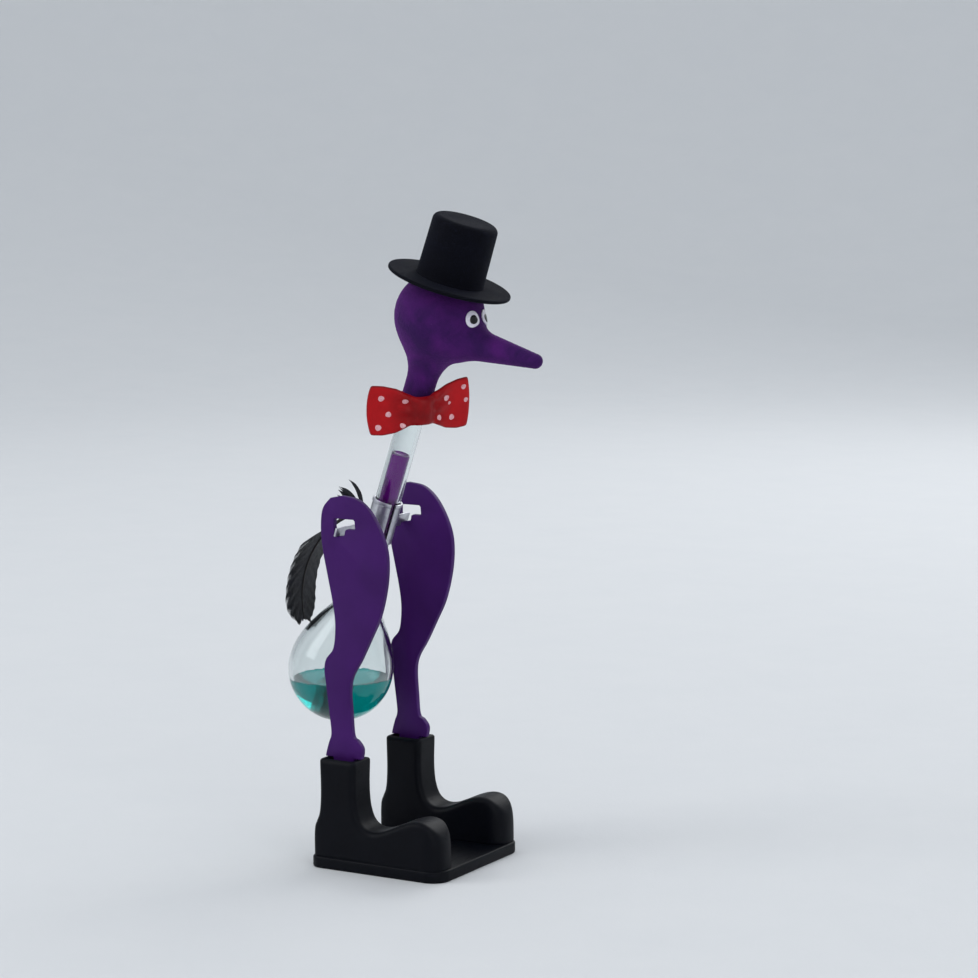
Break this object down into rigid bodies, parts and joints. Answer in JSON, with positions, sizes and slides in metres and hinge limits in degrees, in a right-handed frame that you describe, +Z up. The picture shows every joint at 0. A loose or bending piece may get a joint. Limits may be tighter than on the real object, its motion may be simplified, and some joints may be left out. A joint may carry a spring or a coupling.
{
  "type": "drinking bird",
  "caption": "Glass-bodied bird in a top hat that rocks on two booted legs and dips its beak.",
  "frame": {"origin": "the point on the table top straight below the rocking axis, midway between the legs", "axes": "+X the way the beak points, +Y to the bird's left, along the rocking axis, +Z up"},
  "size_m": [0.077, 0.0444, 0.1764],
  "materials": {
    "base": "satin",
    "boots": "satin",
    "legs": "satin",
    "crosspiece": "polished",
    "feather_shaft": "satin",
    "feather": "matte",
    "glass": "gloss",
    "bulb_liquid": "gloss",
    "column_liquid": "gloss",
    "flock": "matte",
    "beak": "matte",
    "eye_white": "gloss",
    "pupil": "gloss",
    "hat": "matte",
    "bow": "satin"
  },
  "bodies": {
    "stand": {"base_plate": "base", "boot_left": "boots", "boot_right": "boots", "leg_left": "legs", "leg_right": "legs"},
    "rocker": {"crosspiece": "crosspiece", "feather_quill": "feather_shaft", "feather_vane": "feather"},
    "bird": {"riser_tube": "glass", "lower_bulb": "glass", "head_bulb": "glass", "bulb_liquid": "bulb_liquid", "head_cover": "flock", "beak": "beak", "eye_white_left": "eye_white", "eye_white_right": "eye_white", "pupil_left": "pupil", "pupil_right": "pupil", "hat_brim": "hat", "hat_crown": "hat", "bow_tie": "bow", "bow_clip": "bow"},
    "column": {"column_liquid": "column_liquid"}
  },
  "joints": [
    {"name": "rock", "type": "hinge", "parent": "stand", "child": "rocker", "pos_m": [0, 0, 0.0903], "axis": [0, 1, 0], "range_deg": [-29, 61]},
    {"name": "trim", "type": "slide", "parent": "rocker", "child": "bird", "axis": [0.309, 0, 0.9511], "range_m": [-0.003, 0.003]},
    {"name": "liquid_rise", "type": "slide", "parent": "bird", "child": "column", "axis": [0.309, 0, 0.9511], "range_m": [0, 0.017]}
  ]
}
